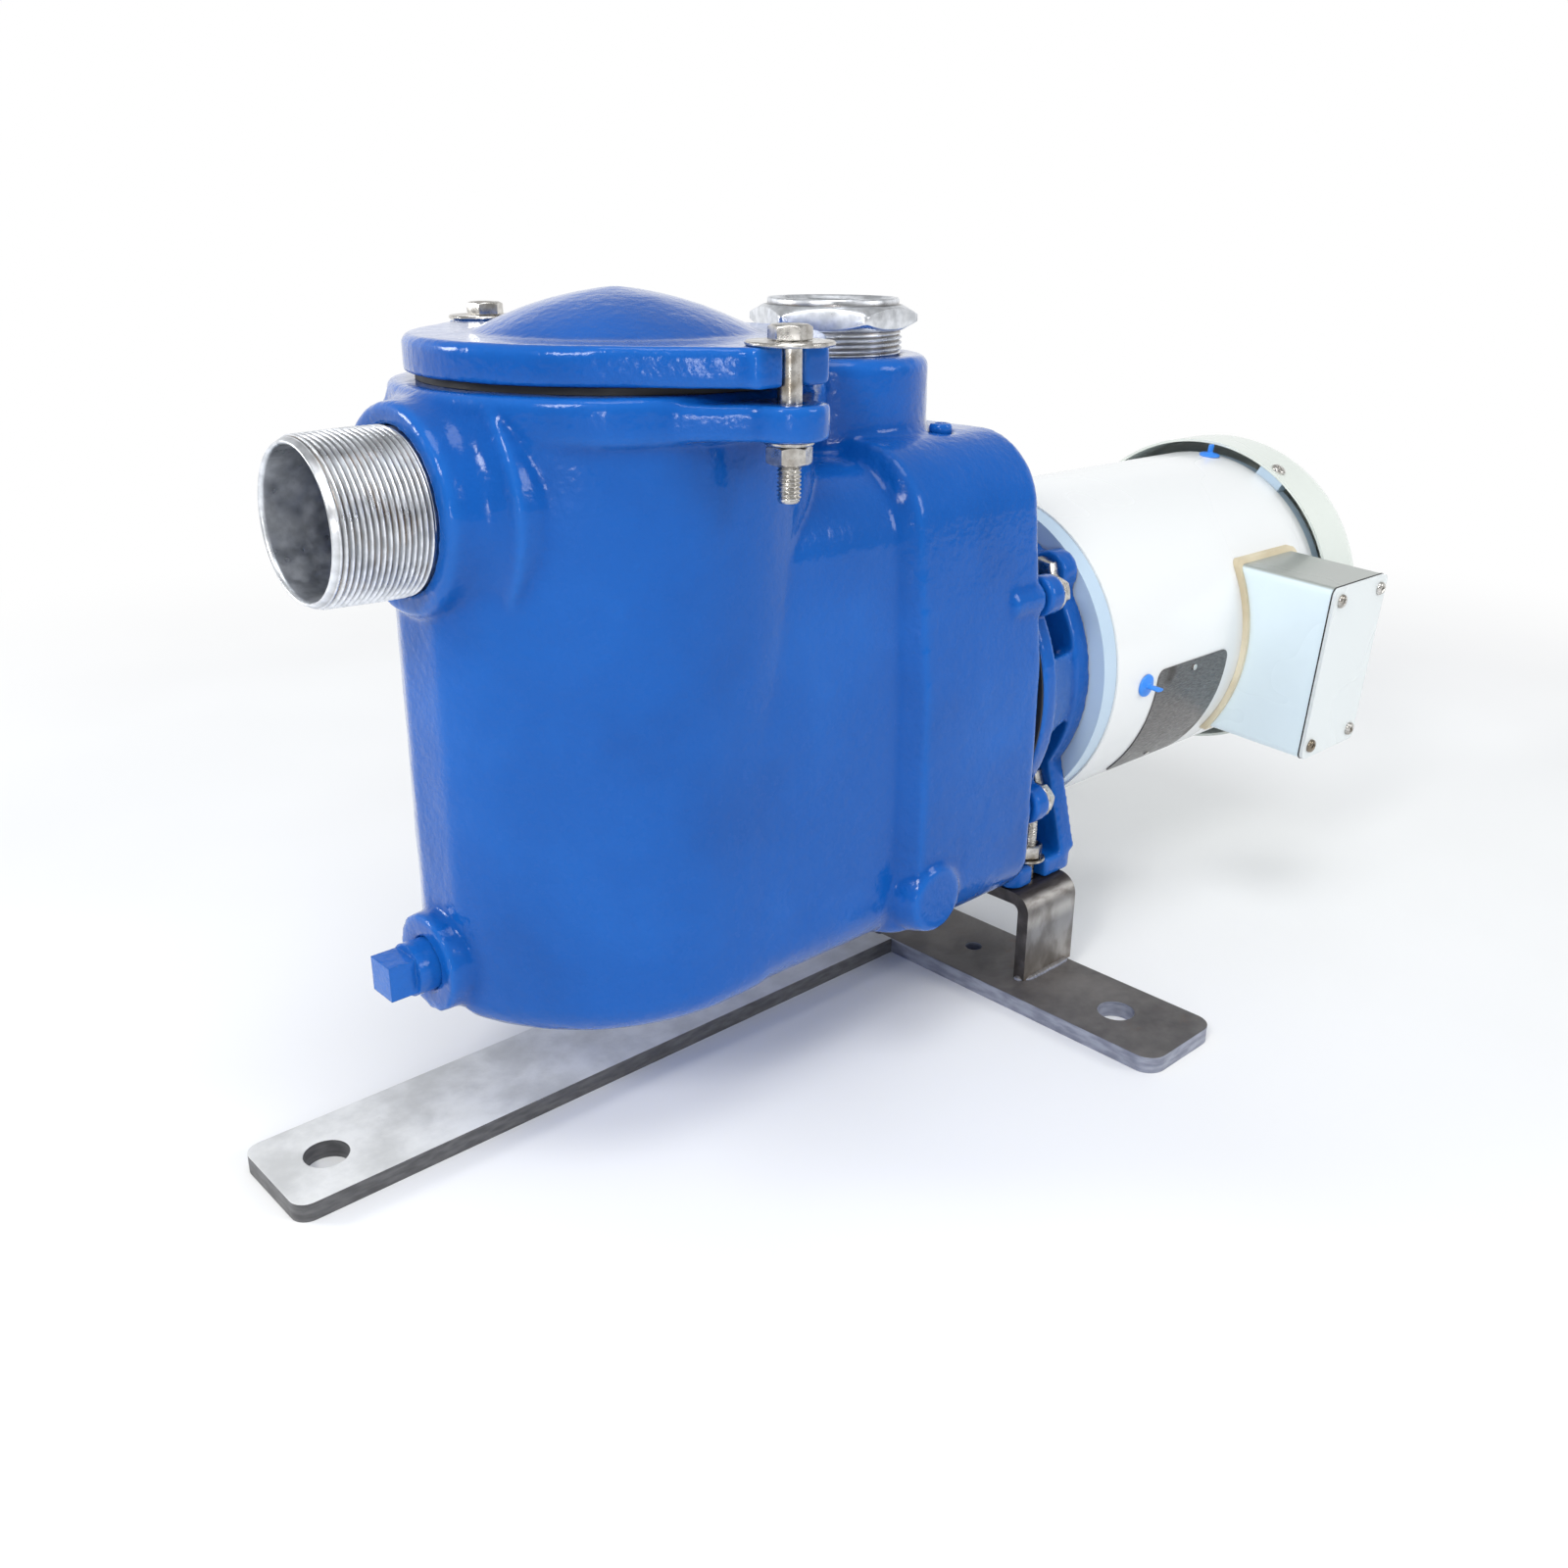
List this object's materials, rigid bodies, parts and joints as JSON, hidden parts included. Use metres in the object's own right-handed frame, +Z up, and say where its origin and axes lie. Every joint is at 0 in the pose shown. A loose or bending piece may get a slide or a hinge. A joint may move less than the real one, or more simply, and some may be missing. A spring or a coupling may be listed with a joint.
{
  "type": "self-priming centrifugal pump",
  "caption": "Close-coupled self-priming centrifugal pump with a strainer trap under a bolted domed cover, a face-mounted electric motor and a flat-bar base",
  "frame": {"origin": "middle of the cross plate's underside, straight below the shaft's axis", "axes": "+X along the shaft from the suction nipple towards the motor, +Z up, +Y to the side away from the terminal box"},
  "size_m": [0.6355, 0.3366, 0.3361],
  "materials": {
    "blue_enamel": "gloss machine enamel over rough casting",
    "white_enamel": "gloss white enamel on rolled steel",
    "bell_enamel": "painted die casting",
    "zinc_pipe": "zinc-plated pipe fitting with cut threads",
    "stainless_hardware": "stainless fasteners, satin",
    "raw_steel": "bare hot-rolled flat bar, brownish grey",
    "black_rubber": "moulded sheet rubber",
    "cream_gasket": "cream foam gasket",
    "nameplate_metal": "dark grey plate, brushed",
    "blue_plug": "bright blue drain plugs",
    "stainless_sheet": "punched stainless sheet",
    "impeller_bronze": "cast bronze, machined",
    "shaft_steel": "ground steel",
    "bearing_steel": "polished bearing steel",
    "lamination_steel": "stacked sheet steel",
    "copper_winding": "varnished copper wire",
    "seal_ceramic": "ceramic seal seat",
    "fan_plastic": "moulded black plastic"
  },
  "bodies": {
    "frame": {"base_bar": "raw_steel", "base_cross_plate": "raw_steel", "riser_bridge": "raw_steel", "foot_bolts": "stainless_hardware", "foot_washers": "stainless_hardware", "foot_nuts": "stainless_hardware", "pump_body": "blue_enamel", "volute_case": "blue_enamel", "cover_gasket": "black_rubber", "cover_nut_washers": "stainless_hardware", "cover_nuts": "stainless_hardware", "suction_nipple": "zinc_pipe", "discharge_bushing": "zinc_pipe", "trap_drain_plug": "blue_enamel", "vent_plug": "blue_enamel", "casing_gasket": "black_rubber", "motor_adapter": "blue_enamel", "casing_bolts": "stainless_hardware", "casing_bolt_washers": "stainless_hardware", "adapter_bolts": "stainless_hardware", "seal_seat": "seal_ceramic", "stator_core": "lamination_steel", "stator_windings": "copper_winding", "front_bearing_outer": "bearing_steel", "rear_bearing_outer": "bearing_steel", "front_end_bell": "bell_enamel", "rear_end_bell": "bell_enamel", "motor_shell": "white_enamel", "motor_through_bolts": "stainless_hardware", "fan_cover": "white_enamel", "fan_cover_screws": "stainless_hardware", "conduit_box": "white_enamel", "conduit_gasket": "cream_gasket", "conduit_cover": "white_enamel", "conduit_cover_screws": "stainless_hardware", "nameplate": "nameplate_metal", "nameplate_rivets": "stainless_hardware", "motor_plugs": "blue_plug"},
    "rotor": {"motor_shaft": "shaft_steel", "rotor_core": "lamination_steel", "impeller": "impeller_bronze", "impeller_key": "shaft_steel", "impeller_screw": "stainless_hardware", "seal_head": "stainless_sheet", "seal_spring": "stainless_sheet", "water_slinger": "black_rubber", "cooling_fan": "fan_plastic", "front_bearing_inner": "bearing_steel", "rear_bearing_inner": "bearing_steel"},
    "cover": {"trap_cover": "blue_enamel", "cover_bolts": "stainless_hardware", "cover_bolt_washers": "stainless_hardware"},
    "basket": {"strainer_basket": "stainless_sheet", "basket_floor": "stainless_sheet", "basket_bail": "stainless_sheet"},
    "front_cage": {"front_bearing_balls": "bearing_steel"},
    "rear_cage": {"rear_bearing_balls": "bearing_steel"}
  },
  "joints": [
    {"name": "rotor_spin", "type": "hinge", "parent": "frame", "child": "rotor", "pos_m": [0, 0, 0.1505], "axis": [1, 0, 0], "continuous": true},
    {"name": "front_cage_spin", "type": "hinge", "parent": "frame", "child": "front_cage", "pos_m": [0.049, 0, 0.1505], "axis": [1, 0, 0], "continuous": true},
    {"name": "rear_cage_spin", "type": "hinge", "parent": "frame", "child": "rear_cage", "pos_m": [0.237, 0, 0.1505], "axis": [1, 0, 0], "continuous": true},
    {"name": "cover_lift", "type": "slide", "parent": "frame", "child": "cover", "axis": [0, 0, 1], "range_m": [0, 0.27]},
    {"name": "basket_lift", "type": "slide", "parent": "frame", "child": "basket", "axis": [0, 0, 1], "range_m": [0, 0.22]}
  ],
  "couplings": [
    {"joint": "front_cage_spin", "follows": "rotor_spin", "ratio": 0.4281},
    {"joint": "rear_cage_spin", "follows": "rotor_spin", "ratio": 0.4281},
    {"joint": "basket_lift", "follows": "cover_lift", "ratio": 0.8}
  ]
}
